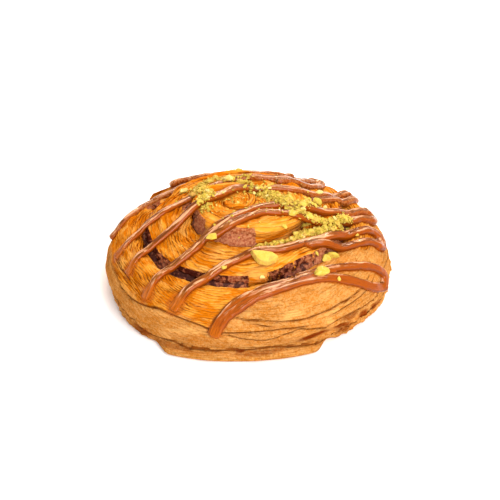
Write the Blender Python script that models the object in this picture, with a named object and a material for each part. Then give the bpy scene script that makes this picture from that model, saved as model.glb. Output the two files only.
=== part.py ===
"""A cinnamon swirl: a strip of laminated dough wound round its own filling and baked into a low dome,
with caramel drizzled over it and chopped pistachio scattered on top.

Metres, +Z up. The roll stands on z = 0 with its axis on the origin. The strip is described in
degrees wound from the eye, anticlockwise from above: 180 is on the left, 270 at the front, 360 on
the right and 450 at the back, and so on round for each further turn.
"""

import math
import random

import bmesh
import bpy
import numpy as np
from mathutils import Euler, Vector
from mathutils.bvhtree import BVHTree
from mathutils.geometry import interpolate_bezier

MM = 0.001

# --- Driving dimensions, in millimetres and degrees ---
RADIUS = 55.0  # the roll's outer edge, as a distance from the eye
# How far out that edge really lies, by the way it faces: the roll baked flatter at its back left.
OUTLINE = (
    (-45, 57.4), (0, 56.5), (45, 56), (90, 52.6), (130, 52.4), (180, 56.2), (205, 56.8), (228, 58.4), (270, 55.5),
    (315, 57.4), (360, 56.5), (405, 56),
)
EYE_X, EYE_Y = -5.2, -2.0  # the swirl's eye sits a little left and forward of the middle
CENTRE_X, CENTRE_Y = -0.25, 3.1  # these bring the middle of the whole roll onto the origin
CORE_RADIUS = 3.4  # the first pinch of dough, which the strip winds round
CORE_HEIGHT = 37.0
WIND_START, SKIN_START, WIND_END = 180.0, 1260.0, 1584.0
FILLING_THICKNESS = ((200, 0.7), (360, 1.1), (540, 1.5))  # by how far the strip has wound
CLEARANCE = 0.32  # dough to filling, on each side
FILLING_BOTTOM = 0.4
BELOW_CREST = 2.0  # the filling stops this far under the crest beside it
CORE_STEP, TURN_STEP, CORE_TURN_END = 20.0, 10.0, 540.0  # outlines along the strip

# The seam's distance from the eye, for each stretch that the strip has wound.
SEAM = (
    (180, 4.2), (225, 5.0), (270, 6.0), (360, 7.5), (450, 11.5), (540, 18), (630, 22), (720, 26.5),
    (810, 32), (900, 38), (945, 40.5), (985, 41.3), (1005, 40), (1030, 37.6), (1080, 39), (1170, 44.5),
    (1215, 50.5), (1260, 55), (1620, 55),
)
# Height of the dome over the seam, and how far the turn inside a seam stands above the one outside.
DOME = ((0, 36.6), (7, 36.4), (14, 35.6), (22, 33.2), (30, 30.6), (38.5, 26.0), (45, 22.5), (55, 16))
RISE = ((0, 0.2), (6, 0.8), (14, 3.8), (22, 6.2), (32, 4.4), (38.5, 3.6), (50, 2.0), (55, 1.0))
BACK_DROP = 2.4  # the dome's far side sinks by this much at its edge
BACK_FACES = 110.0
CROWN = ((0, 0.3), (10, 1.2), (20, 2.0), (40, 2.4), (55, 3.0))  # how far a turn bulges above its edges
CREST_SWELL, FLANK_SWELL = 0.5, 0.35  # how uneven the crests and the flank are
LAYER_RIDGE = 0.22  # the edges of the dough's layers stand this proud across each turn
HEIGHT_THAT_SINKS = 26.0
SHOULDER_SHARE = 0.6  # the most of a thin strip's width that its rounded shoulder takes
# The outer turn's flank, from the base up, plain and with the tail of the strip as a lip.
PLAIN_FLANK = ((52.6, 0), (54.2, 1.3), (54.3, 4.0), (55.0, 8.5), (54.0, 14.5), (50.5, 20.6))
LIP_FLANK = ((57.6, 0), (59.2, 1.6), (54.6, 4.8), (55.0, 8.5), (54.0, 14.5), (50.5, 20.6))
LIP_FROM, LIP_TO, LIP_FADE = 232.0, 305.0, 10.0
# How far the side's foot is tucked under the roll, by the way it faces, and the share of it at each part.
FOOT_TUCK = (
    (0, 0.2), (180, 1.0), (196, 1.3), (206, 0.8), (213, 0), (222, 0), (255, 0.2), (268, 0.8), (280, 1.6),
    (292, 2.1), (304, 2.2), (314, 1.3), (326, 0.9), (337, 0.2), (360, 0.2),
)
TUCKED = (1, 1, 0.6, 0.1, 0, 0)

# A spot on top of the roll is (x, y) where its line from the pole crosses the plane of the crown.
POLE, CROWN_PLANE = Vector((0, 0, -60.0)), 38.0
# The caramel was poured in long loops from the left edge to the right and back: (width, spots).
DRIZZLE = (
    (5.3, ((-19, -75), (-14, -67), (-7, -60), (4, -53), (17, -46.5), (30, -41), (46, -38), (62, -35),
           (73, -28))),
    (3.8, ((73, -31), (69, -23), (58, -25), (46, -30), (33, -36), (20, -43))),
    (3.9, ((-37, -58), (-29, -51), (-21, -45), (-13, -39), (-5, -34), (4, -29), (14, -27), (23, -22),
           (32, -16), (41, -9), (50, -3), (58, 2), (64, 2), (65, -4), (59, -7))),
    (3.4, ((63, -6), (55, -9), (48, -14), (41, -18), (33, -20), (24, -23))),
    (3.8, ((-51, -48), (-42, -41), (-33, -34), (-24, -28), (-16, -21), (-9, -16), (-2, -10), (4, -5),
           (12, -3), (22, -2), (32, 2), (43, 9), (51, 16), (58, 21))),
    (3.4, ((55, 22), (61, 18), (58, 12), (50, 8), (40, 0), (30, -7), (20, -10), (12, -9), (5, -10),
           (-1, -14), (-8, -19), (-16, -23))),
    (3.8, ((-58, -30), (-48, -22), (-40, -17), (-31, -12), (-22, -6), (-14, 1), (-7, 7), (1, 10), (9, 11),
           (18, 12), (28, 17), (37, 25), (43, 32), (49, 38))),
    (3.4, ((46, 39), (52, 35), (49, 28), (44, 22), (35, 16), (26, 11))),
    (3.8, ((-65, -15), (-54, -9), (-45, -3), (-36, 1), (-27, 7), (-19, 13), (-11, 19), (-2, 22), (8, 22),
           (17, 26), (24, 35), (31, 46))),
    (3.4, ((28, 47), (35, 45), (33, 37), (28, 29), (20, 23), (11, 20))),
    (3.5, ((-71, 9), (-63, 13), (-54, 21), (-44, 28), (-34, 33), (-25, 38), (-15, 41), (-5, 42), (6, 43),
           (15, 48), (22, 55))),
    (3.9, ((-39, 49), (-30, 55), (-20, 56), (-11, 54), (-2, 51), (6, 49))),
)
DRIZZLE_HEIGHT, DRIZZLE_LIFT = 3.2, 0.5  # of the strand's middle above the dough
STRAND_SHAPE = ((-0.5, -0.1), (-0.32, 0.38), (0, 0.5), (0.32, 0.38), (0.5, -0.1), (0, -0.5))
DRIZZLE_STEP, FALL = 6.5, 0.9  # past a crest a strand falls this steeply until it lands
OVER_FILLING, CLEAR_ROUND = 1.1, 1.4  # what crosses a slot stays this far above the filling and round it
# Chopped pistachio: the pieces that stand out, as (x, y, length), then where the finer ones fell,
# as (x, y, reach along x, reach along y, how many).
NUTS = (
    (6.5, -34, 10.5), (31, -39, 6.6), (37, -24.5, 5.2), (34, -21, 4.0), (-14, -24, 5.2), (-27, 17, 4.8),
    (-22, 9, 4.0), (-16, -2, 3.6), (-15, 6, 3.8), (-14, 27, 3.0), (-10, 20, 2.8), (-8, 19, 4.8),
    (-3, 19, 4.4), (-7, 41, 4.2), (-4, 42, 4.4), (12, 4, 3.8), (16, 4, 3.8), (30, 18, 3.8), (29, 10, 4.6),
    (33, 8, 2.8), (17, -11, 4.4), (21, -3, 4.0), (24, -10, 4.0), (-10, -39, 2.6), (6, -43, 2.4),
    (40, -40, 2.4), (48, -7, 2.6), (29, -26, 2.6), (20, -15, 3.6), (14, -17, 3.4),
)
NUT_FIELDS = (
    (-17, 5, 5, 8, 5), (-6, 20, 10, 5, 4), (14, 0, 9, 6, 8), (28, -8, 13, 5, 10), (12, -23, 9, 3, 5),
)
FINE_NUT = (1.8, 3.2)
FLAT_ENOUGH = math.radians(3.0)  # faces that meet flatter than this are one
NUT_SUNK, NUT_BITE = 0.3, 0.7  # of a chip's middle, and of the lowest corner of one that hung
FEET = ((0, 0), (0.36, 0), (-0.36, 0), (0, 0.36), (0, -0.36))  # where a thing rests, by its width
SEED = 12


def smooth_through(knots, at):
    """Value at `at` of the smooth curve through the (place, value) knots, with no overshoot."""
    places, values = np.array(knots, float).T
    rates = np.diff(values) / np.diff(places)
    before, after = np.append(rates[0], rates), np.append(rates, rates[-1])
    same = before * after > 0
    slopes = np.where(same, 2 * before * after / np.where(same, before + after, 1), 0)
    i = np.clip(np.searchsorted(places, at) - 1, 0, len(places) - 2)
    step = places[i + 1] - places[i]
    t = np.clip((at - places[i]) / step, 0, 1)
    return (
        (1 + 2 * t) * (1 - t) ** 2 * values[i]
        + t * (1 - t) ** 2 * step * slopes[i]
        + t * t * (3 - 2 * t) * values[i + 1]
        - t * t * (1 - t) * step * slopes[i + 1]
    )


def ramp(value, low, high):
    """0 below low, 1 above high, smooth between."""
    t = np.clip((value - low) / (high - low), 0, 1)
    return t * t * (3 - 2 * t)


def seam(wound):
    return smooth_through(SEAM, wound)


def half_slot(wound):
    return smooth_through(FILLING_THICKNESS, wound) / 2 + CLEARANCE


def inner_edge(wound):
    """Where the strip starts, outside the turn before it. The first turn starts inside the core."""
    outside = seam(wound - 360) + half_slot(wound - 360)
    return 1.0 + (outside - 1.0) * ramp(wound, 440, 540)


def outer_edge(wound):
    return seam(wound) - half_slot(wound) * (1 - ramp(wound, 1230, SKIN_START))


def sunk(wound, distance):
    """How much lower the dome lies here than on its front."""
    facing = 0.5 + 0.5 * math.cos(math.radians(wound - BACK_FACES))
    return BACK_DROP * facing * ramp(distance, 12, 55)


def edge_heights(wound):
    """Heights of the strip's inner and outer top edges."""
    before, after = seam(wound - 360) * ramp(wound, 440, 540), seam(wound)
    low = smooth_through(DOME, before) - smooth_through(RISE, before) / 2
    high = smooth_through(DOME, after) + smooth_through(RISE, after) / 2
    return low - sunk(wound, before), high - sunk(wound, after)


def unevenness(wound, waves, phase):
    """Between -1 and 1: a slow swell round the strip, as hand-rolled dough has."""
    turn = math.radians(wound)
    return 0.6 * math.sin(waves * turn + phase) + 0.4 * math.sin((waves + 2.3) * turn + 2 * phase)


def flank(wound, part):
    """A point of the outer turn's side, between the plain flank and the one with the tail as a lip.
    Where the strip thins out towards its end, its shoulder narrows with it."""
    azimuth = wound % 360
    lip = ramp(azimuth, LIP_FROM, LIP_FROM + LIP_FADE) * (1 - ramp(azimuth, LIP_TO - LIP_FADE, LIP_TO))
    (plain_s, plain_z), (lip_s, lip_z) = PLAIN_FLANK[part], LIP_FLANK[part]
    distance = plain_s + (lip_s - plain_s) * lip - TUCKED[part] * smooth_through(FOOT_TUCK, azimuth)
    inner, outer = inner_edge(wound), outer_edge(wound)
    if distance < RADIUS:
        narrow = min(1, SHOULDER_SHARE * (outer - inner) / (RADIUS - PLAIN_FLANK[-1][0]))
        distance = RADIUS - (RADIUS - distance) * narrow
    distance = distance * outer / RADIUS + FLANK_SWELL * unevenness(wound, 3 + part, part)
    height = plain_z + (lip_z - plain_z) * lip
    return distance, height * (1 - sunk(wound, RADIUS) / HEIGHT_THAT_SINKS)


def profile(wound):
    """The strip's outline across, as (distance from the eye, height), from the foot outwards and up."""
    inner, outer = inner_edge(wound), outer_edge(wound)
    low, high = edge_heights(wound)
    high += CREST_SWELL * unevenness(wound, 4, 1)
    skin = ramp(wound, 1226, SKIN_START + 4)
    side = []
    for part, up_wall in enumerate((0, 0.3, 0.6, 0.8, 0.9, 0.97)):
        flank_s, flank_z = flank(wound, part)
        wall_s, wall_z = outer, high * up_wall
        side.append((wall_s + (flank_s - wall_s) * skin, wall_z + (flank_z - wall_z) * skin))
    top_s, top_z = side[-1]
    top_z += (1 - skin) * 0.03 * high
    top = []
    for number, part in enumerate((0.07, 0.2, 0.34, 0.5, 0.66, 0.82, 0.94)):
        bulge = smooth_through(CROWN, (inner + outer) / 2) * 4 * part * (1 - part)
        layer = LAYER_RIDGE * (-1) ** number * ramp(wound, 360, 540)
        top.append((top_s + (inner - top_s) * part, top_z + (low - top_z) * part + bulge + layer))
    foot = side[0][0]
    return [((inner + foot) / 2, 0), *side, *top, (inner, low - 0.8), (inner, 0)]


def place(wound, distance, height):
    """The point this far from the eye, which drifts to the roll's own outline at its edge."""
    turn, share = math.radians(wound), distance / RADIUS
    reach = distance * (1 + (smooth_through(OUTLINE, wound % 360) / RADIUS - 1) * share * share)
    x = EYE_X * (1 - share) + reach * math.cos(turn) + CENTRE_X
    y = EYE_Y * (1 - share) + reach * math.sin(turn) + CENTRE_Y
    return x * MM, y * MM, height * MM


def stations(start, end):
    """Stretches wound from start to end. Each turn has the same ones, so that its neighbours fit it."""
    wound = [start]
    while wound[-1] < end:
        wound.append(wound[-1] + (CORE_STEP if wound[-1] < CORE_TURN_END else TURN_STEP))
    wound[-1] = end
    return wound


def sweep(outlines):
    """A closed solid through a row of outlines, each with as many points."""
    solid = bmesh.new()
    rings = [[solid.verts.new(point) for point in outline] for outline in outlines]
    for ring, following in zip(rings, rings[1:]):
        for i, corner in enumerate(ring):
            solid.faces.new((corner, ring[i - 1], following[i - 1], following[i]))
    solid.faces.new(rings[0])
    solid.faces.new(reversed(rings[-1]))
    bmesh.ops.recalc_face_normals(solid, faces=solid.faces)
    bmesh.ops.triangulate(solid, faces=solid.faces)
    return solid


def made_object(name, solid, material, collection=None):
    mesh = bpy.data.meshes.new(name)
    solid.to_mesh(mesh)
    solid.free()
    mesh.shade_smooth()
    mesh.set_sharp_from_angle(angle=math.radians(50))
    mesh.materials.append(material)
    made = bpy.data.objects.new(name, mesh)
    (collection or bpy.context.scene.collection).objects.link(made)
    return made


def tree_of(made):
    """The object's surface, for finding what lies under a spot."""
    shape = bmesh.new()
    shape.from_mesh(made.data)
    tree = BVHTree.FromBMesh(shape)
    shape.free()
    return tree


def strip_solid():
    outlines = [[place(w, s, z) for s, z in profile(w)] for w in stations(WIND_START, WIND_END)]
    return sweep(outlines)


def filling_solid():
    """The filling between the turns: it coats the inner turn's wall, and is lower beside the outer turn."""
    outlines = []
    for w in stations(WIND_START + CORE_STEP, SKIN_START - 4 * TURN_STEP):
        half = half_slot(w) - CLEARANCE
        inner, outer = seam(w) - half, seam(w) + half
        crest, ledge = edge_heights(w)[1] - CREST_SWELL, edge_heights(w + 360)[0]
        high, low = crest - BELOW_CREST, min(ledge - 0.2, crest - 2 * BELOW_CREST)
        foot = ((inner, FILLING_BOTTOM), (outer, FILLING_BOTTOM))
        top = ((outer, low), (seam(w), (high + low) / 2), (inner, high))
        outlines.append([place(w, s, z) for s, z in foot + top])
    return sweep(outlines)


def core_solid():
    """The pinch of dough at the eye, which the strip's first turn starts inside."""
    core = bmesh.new()
    bmesh.ops.create_cone(
        core, cap_ends=True, segments=16, radius1=CORE_RADIUS * MM, radius2=CORE_RADIUS * MM,
        depth=CORE_HEIGHT * MM,
    )
    rim = [edge for edge in core.edges if all(end.co.z > 0 for end in edge.verts)]
    bmesh.ops.bevel(core, geom=rim, offset=1.6 * MM, segments=2, profile=0.5, affect="EDGES", material=-1)
    bmesh.ops.translate(core, verts=core.verts, vec=Vector(place(0, 0, CORE_HEIGHT / 2)))
    return core


def route_through(spots, spacing):
    """Evenly spaced points of the smooth line through the spots."""
    points = [Vector((x, y, 0)) for x, y in spots]
    ends = [2 * points[0] - points[1], *points, 2 * points[-1] - points[-2]]
    fine = []
    for before, start, end, after in zip(ends, ends[1:], ends[2:], ends[3:]):
        leaving, arriving = start + (end - before) / 6, end - (after - start) / 6
        fine += interpolate_bezier(start, leaving, arriving, end, 16)[:-1]
    fine.append(points[-1])
    travelled = np.cumsum([0] + [(b - a).length for a, b in zip(fine, fine[1:])])
    at = np.linspace(0, travelled[-1], max(2, round(travelled[-1] / spacing) + 1))
    return list(zip(*(np.interp(at, travelled, [point[axis] for point in fine]) for axis in (0, 1))))


def landing(spot, trees):
    """(reach, outward direction, normal) where the line from the pole through a spot leaves the roll."""
    outward = (Vector((spot[0], spot[1], CROWN_PLANE)) - POLE).normalized()
    far = 2 * RADIUS - POLE.z
    hits = [tree.ray_cast((POLE + outward * far) * MM, -outward)[:2] for tree in trees]
    found = [((point / MM - POLE).length, normal) for point, normal in hits if point]
    reach, normal = max(found, key=lambda hit: hit[0])
    return reach, outward, normal


def lift_off(solid, filling_tree):
    """Lifts the corners that dip towards the filling, along their lines from the pole."""
    for corner in solid.verts:
        from_pole = corner.co / MM - POLE
        reach, outward = from_pole.length, from_pole.normalized()
        for dx, dy in ((0, 0), (1, 0), (-1, 0), (0, 1), (0, -1)):
            start = outward * (2 * RADIUS - POLE.z) + Vector((dx, dy, 0)) * CLEAR_ROUND + POLE
            hit = filling_tree.ray_cast(start * MM, -outward)[0]
            if hit:
                reach = max(reach, (hit / MM - POLE).length + OVER_FILLING)
        corner.co = (POLE + outward * reach) * MM


def resting(spot, spread, trees):
    """(reach, outward direction, normal) of something this wide laid on a spot: it spans narrow gaps."""
    under = [landing((spot[0] + dx * spread, spot[1] + dy * spread), trees) for dx, dy in FEET]
    normal = sum((foot[2] for foot in under), under[0][1]).normalized()
    return max(foot[0] for foot in under), under[0][1], normal


def strand_solid(width, spots, dough_tree, filling_tree):
    """A strand that lies on the dough, and bridges from each crest to the turn below."""
    fine_step = 1.0
    places = [resting(spot, width, [dough_tree]) for spot in route_through(spots, fine_step)]
    reach = np.array([p[0] for p in places])
    steps = np.arange(len(places)) * fine_step
    drape = np.max(reach[None, :] - FALL * np.abs(steps[:, None] - steps[None, :]), axis=1)
    near = np.exp(-(((steps[:, None] - steps[None, :]) / 2.0) ** 2))
    drape = (near @ drape) / near.sum(axis=1)
    middles = [POLE + p[1] * (float(d) + DRIZZLE_LIFT) for p, d in zip(places, drape)]
    stride = max(1, round(DRIZZLE_STEP / fine_step))
    chosen = sorted({*range(0, len(places), stride), 1, len(places) - 2, len(places) - 1})
    outlines = []
    for i in chosen:
        forward = (middles[min(i + 2, len(middles) - 1)] - middles[max(i - 2, 0)]).normalized()
        around = range(max(i - 4, 0), min(i + 5, len(places)))
        up = sum((places[j][2] for j in around), places[i][1] * 2).normalized()
        side = forward.cross(up).normalized()
        up = side.cross(forward)
        end = 0.6 if i in (0, len(places) - 1) else 1.0
        outline = []
        for across, rise in STRAND_SHAPE:
            outline.append((middles[i] + end * (side * across * width + up * rise * DRIZZLE_HEIGHT)) * MM)
        outlines.append(outline)
    strand = sweep(outlines)
    lift_off(strand, filling_tree)
    return strand


def nut_solid(spot, length, trees, filling_tree, draw):
    """A chip of chopped pistachio, pressed a little into the highest thing under it."""
    chip = bmesh.new()
    bmesh.ops.create_icosphere(chip, subdivisions=1, radius=0.5)
    for corner in chip.verts:
        corner.co *= draw.uniform(0.8, 1.15)
    width, height = length * draw.uniform(0.55, 0.75), max(1.8, length * draw.uniform(0.35, 0.5))
    size = Vector((length, width, height))
    reach, outward, normal = resting(spot, length, trees)
    facing = Euler((0, 0, draw.uniform(0, math.tau))).to_matrix()
    turn = normal.to_track_quat("Z", "X").to_matrix() @ facing
    middle = POLE + outward * (reach - NUT_SUNK + 0.15 * size.z)
    for corner in chip.verts:
        corner.co = (middle + turn @ (corner.co * size)) * MM
    clearances = []
    for corner in chip.verts:
        from_pole = corner.co / MM - POLE
        to_plane = (CROWN_PLANE - POLE.z) / from_pole.z
        under = landing((from_pole.x * to_plane, from_pole.y * to_plane), trees)[0]
        clearances.append(from_pole.length - under)
    if min(clearances) > -0.05:  # it would hang in the air beside a strand or a crest
        for corner in chip.verts:
            corner.co -= outward * (min(clearances) + NUT_BITE) * MM
    lift_off(chip, filling_tree)
    if chip.calc_volume(signed=True) < 0:
        bmesh.ops.reverse_faces(chip, faces=chip.faces)
    return chip


def keep_outer_shell(shape):
    """Drops every shell but the largest: hollows that joining sealed, and loose scraps."""
    left, shells = set(shape.faces), []
    while left:
        shell, rim = [], [left.pop()]
        while rim:
            face = rim.pop()
            shell.append(face)
            plain_edges = (edge for edge in face.edges if len(edge.link_faces) == 2)
            near = {other for edge in plain_edges for other in edge.link_faces} & left
            left -= near
            rim += near
        shells.append(shell)
    shells.sort(key=len)
    bmesh.ops.delete(shape, geom=[face for shell in shells[:-1] for face in shell], context="FACES")


def clean(mesh):
    """One closed shell, with the nearly flat faces that joining cut up put together again."""
    shape = bmesh.new()
    shape.from_mesh(mesh)
    keep_outer_shell(shape)
    bmesh.ops.dissolve_limit(
        shape, angle_limit=FLAT_ENOUGH, use_dissolve_boundaries=False, verts=shape.verts,
        edges=shape.edges, delimit={"MATERIAL"},
    )
    bmesh.ops.triangulate(shape, faces=shape.faces)
    keep_outer_shell(shape)
    shape.to_mesh(mesh)
    shape.free()


def fuse(base, pieces):
    """The base with every piece of the collection joined to it."""
    union = base.modifiers.new("joined", "BOOLEAN")
    union.operation, union.solver, union.material_mode = "UNION", "MANIFOLD", "TRANSFER"
    union.operand_type, union.collection = "COLLECTION", pieces
    graph = bpy.context.evaluated_depsgraph_get()
    joined = bpy.data.meshes.new_from_object(base.evaluated_get(graph))
    base.modifiers.clear()
    base.data = joined
    clean(joined)
    for piece in list(pieces.objects):
        bpy.data.objects.remove(piece, do_unlink=True)
    bpy.data.collections.remove(pieces)


def finish(name, colour, roughness):
    made = bpy.data.materials.new(name)
    made.use_nodes = True
    shader = made.node_tree.nodes["Principled BSDF"]
    shader.inputs["Base Color"].default_value = (*colour, 1)
    shader.inputs["Roughness"].default_value = roughness
    made.diffuse_color = (*colour, 1)
    return made


for old in list(bpy.data.objects):
    bpy.data.objects.remove(old, do_unlink=True)

crust = finish("baked_crust", (0.62, 0.28, 0.07), 0.65)
caramel = finish("caramel", (0.36, 0.11, 0.025), 0.25)
pistachio = finish("pistachio", (0.62, 0.58, 0.16), 0.7)
cinnamon = finish("cinnamon", (0.13, 0.035, 0.02), 0.85)

filling = made_object("cinnamon_filling", filling_solid(), cinnamon)
filling_tree = tree_of(filling)
dough = made_object("dough", strip_solid(), crust)
toppings = bpy.data.collections.new("toppings")
bpy.context.scene.collection.children.link(toppings)
made_object("core", core_solid(), crust, toppings)

trees = [tree_of(dough)]
for number, (width, spots) in enumerate(DRIZZLE):
    strand = strand_solid(width, spots, trees[0], filling_tree)
    trees.append(tree_of(made_object(f"strand_{number}", strand, caramel, toppings)))
draw = random.Random(SEED)
chips = list(NUTS)
for x, y, reach_x, reach_y, count in NUT_FIELDS:
    for _ in range(count):
        away, angle = math.sqrt(draw.random()), draw.uniform(0, math.tau)
        spot = x + reach_x * away * math.cos(angle), y + reach_y * away * math.sin(angle)
        chips.append((*spot, draw.uniform(*FINE_NUT)))
for number, (x, y, length) in enumerate(chips):
    nut = nut_solid((x, y), length, trees, filling_tree, draw)
    made_object(f"nut_{number}", nut, pistachio, toppings)
fuse(dough, toppings)
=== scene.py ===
import math
import random

import bmesh
import bpy
import numpy as np
from mathutils import Euler, Matrix, Vector
from mathutils.bvhtree import BVHTree
from mathutils.geometry import interpolate_bezier
from mathutils.kdtree import KDTree


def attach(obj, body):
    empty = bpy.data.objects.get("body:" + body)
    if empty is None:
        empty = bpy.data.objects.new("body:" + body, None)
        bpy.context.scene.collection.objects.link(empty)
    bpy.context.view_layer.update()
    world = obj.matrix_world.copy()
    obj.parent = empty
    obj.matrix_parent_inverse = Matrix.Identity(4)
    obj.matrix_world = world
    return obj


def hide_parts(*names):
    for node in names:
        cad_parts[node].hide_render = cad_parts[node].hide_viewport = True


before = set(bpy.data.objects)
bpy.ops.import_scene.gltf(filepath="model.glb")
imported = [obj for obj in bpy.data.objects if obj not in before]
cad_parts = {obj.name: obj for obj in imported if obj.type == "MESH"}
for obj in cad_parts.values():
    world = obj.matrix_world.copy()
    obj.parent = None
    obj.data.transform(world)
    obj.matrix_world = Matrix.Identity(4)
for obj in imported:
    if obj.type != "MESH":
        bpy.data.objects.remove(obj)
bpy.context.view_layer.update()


# --- The strip of dough -------------------------------------------------------------------------
# The roll is one strip of butter-layered dough, wound round its filling, cut across and baked lying
# flat. It is described in degrees wound from the eye, anticlockwise from above, in millimetres.

MM = 0.001
COARSE = 1.0
RADIUS = 55.0
OUTLINE = (
    (-45, 57.4), (0, 56.5), (45, 56), (90, 52.6), (130, 52.4), (180, 56.2), (205, 56.8), (228, 58.4),
    (270, 55.5), (315, 57.4), (360, 56.5), (405, 56),
)
EYE_X, EYE_Y = -5.2, -2.0
CENTRE_X, CENTRE_Y = -0.25, 3.1
WIND_START, SKIN_START, WIND_END = 180.0, 1260.0, 1584.0
FILLING_THICKNESS = ((200, 0.7), (360, 1.1), (540, 1.5))
CLEARANCE = 0.32
SEAM = (
    (180, 4.2), (225, 5.0), (270, 6.0), (360, 7.5), (450, 11.5), (540, 18), (630, 22), (720, 26.5),
    (810, 32), (900, 38), (945, 40.5), (985, 41.3), (1005, 40), (1030, 37.6), (1080, 39), (1170, 44.5),
    (1215, 50.5), (1260, 55), (1620, 55),
)
DOME = ((0, 36.6), (7, 36.4), (14, 35.6), (22, 33.2), (30, 30.6), (38.5, 26.0), (45, 22.5), (55, 16))
RISE = ((0, 0.2), (6, 0.8), (14, 3.8), (22, 6.2), (32, 4.4), (38.5, 3.6), (50, 2.0), (55, 1.0))
BACK_DROP, BACK_FACES = 2.4, 110.0
CROWN = ((0, 0.3), (10, 1.2), (20, 2.0), (40, 2.4), (55, 3.0))
CREST_SWELL, FLANK_SWELL = 0.5, 0.35
HEIGHT_THAT_SINKS = 26.0
SHOULDER_SHARE = 0.6
PLAIN_FLANK = ((52.6, 0), (54.2, 1.3), (54.3, 4.0), (55.0, 8.5), (54.0, 14.5), (50.5, 20.6))
LIP_FLANK = ((57.6, 0), (59.2, 1.6), (54.6, 4.8), (55.0, 8.5), (54.0, 14.5), (50.5, 20.6))
LIP_FROM, LIP_TO, LIP_FADE = 232.0, 305.0, 10.0
# How far the side's foot is tucked under the roll, by the way it faces, and the share of it at each part.
FOOT_TUCK = (
    (0, 0.2), (180, 1.0), (196, 1.3), (206, 0.8), (213, 0), (222, 0), (255, 0.2), (268, 0.8), (280, 1.6),
    (292, 2.1), (304, 2.2), (314, 1.3), (326, 0.9), (337, 0.2), (360, 0.2),
)
TUCKED = (1, 1, 0.6, 0.1, 0, 0)
# The strip's tail, in degrees before its end: where it is pinched thin and by what share, then where its edge
# is pressed in and by how many millimetres.
PINCH_FROM, PINCH_TO, PINCHED_THIN = 19.0, 2.0, 0.75
PRESSED_FROM, PRESSED_IN = 4.5, 2.2


def smooth_through(knots, at):
    """Value at `at` of the smooth curve through the (place, value) knots, with no overshoot."""
    places, values = np.array(knots, float).T
    rates = np.diff(values) / np.diff(places)
    before, after = np.append(rates[0], rates), np.append(rates, rates[-1])
    same = before * after > 0
    slopes = np.where(same, 2 * before * after / np.where(same, before + after, 1), 0)
    i = np.clip(np.searchsorted(places, at) - 1, 0, len(places) - 2)
    step = places[i + 1] - places[i]
    t = np.clip((at - places[i]) / step, 0, 1)
    return (
        (1 + 2 * t) * (1 - t) ** 2 * values[i]
        + t * (1 - t) ** 2 * step * slopes[i]
        + t * t * (3 - 2 * t) * values[i + 1]
        - t * t * (1 - t) * step * slopes[i + 1]
    )


def ramp(value, low, high):
    """0 below low, 1 above high, smooth between."""
    t = np.clip((value - low) / (high - low), 0, 1)
    return t * t * (3 - 2 * t)


def within(value, start, full, fading, end):
    """0 outside start and end, 1 from full to fading, smooth between."""
    return ramp(value, start, full) * (1 - ramp(value, fading, end))


def lumps(x, y, seed):
    """Smooth unevenness between about -1 and 1, with one lump to each unit of x and of y."""
    left, below = np.floor(x), np.floor(y)
    total = 0.0
    for i in (0, 1):
        for j in (0, 1):
            dx, dy = x - left - i, y - below - j
            spin = np.sin((left + i) * 12.9898 + (below + j) * 78.233 + seed * 37.719) * 43758.5453
            spin = (spin - np.floor(spin)) * 2 * np.pi
            near_x, near_y = 1 - np.abs(dx), 1 - np.abs(dy)
            weight = near_x**2 * (3 - 2 * near_x) * near_y**2 * (3 - 2 * near_y)
            total = total + weight * (np.cos(spin) * dx + np.sin(spin) * dy)
    return total * 1.6


def seam(wound):
    return smooth_through(SEAM, wound)


def half_slot(wound):
    return smooth_through(FILLING_THICKNESS, wound) / 2 + CLEARANCE


def inner_edge(wound):
    outside = seam(wound - 360) + half_slot(wound - 360)
    return 1.0 + (outside - 1.0) * ramp(wound, 440, 540)


def outer_edge(wound):
    return seam(wound) - half_slot(wound) * (1 - ramp(wound, 1230, SKIN_START))


def sunk(wound, distance):
    """How much lower the dome lies here than on its front."""
    facing = 0.5 + 0.5 * np.cos(np.radians(wound - BACK_FACES))
    return BACK_DROP * facing * ramp(distance, 12, 55)


def edge_heights(wound):
    """Heights of the strip's inner and outer top edges."""
    before, after = seam(wound - 360) * ramp(wound, 440, 540), seam(wound)
    low = smooth_through(DOME, before) - smooth_through(RISE, before) / 2
    high = smooth_through(DOME, after) + smooth_through(RISE, after) / 2
    return low - sunk(wound, before), high - sunk(wound, after)


def unevenness(wound, waves, phase):
    turn = np.radians(wound)
    return 0.6 * np.sin(waves * turn + phase) + 0.4 * np.sin((waves + 2.3) * turn + 2 * phase)


def flank(wound, part):
    """A point of the outer turn's side, between the plain flank and the one with the tail as a lip."""
    azimuth = wound % 360
    lip = within(azimuth, LIP_FROM, LIP_FROM + LIP_FADE, LIP_TO - LIP_FADE, LIP_TO)
    (plain_s, plain_z), (lip_s, lip_z) = PLAIN_FLANK[part], LIP_FLANK[part]
    distance = plain_s + (lip_s - plain_s) * lip - TUCKED[part] * smooth_through(FOOT_TUCK, azimuth)
    inner, outer = inner_edge(wound), outer_edge(wound)
    narrow = np.minimum(1, SHOULDER_SHARE * (outer - inner) / (RADIUS - PLAIN_FLANK[-1][0]))
    distance = np.where(distance < RADIUS, RADIUS - (RADIUS - distance) * narrow, distance)
    distance = distance * outer / RADIUS + FLANK_SWELL * unevenness(wound, 3 + part, part)
    height = plain_z + (lip_z - plain_z) * lip
    return distance, height * (1 - sunk(wound, RADIUS) / HEIGHT_THAT_SINKS)


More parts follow.
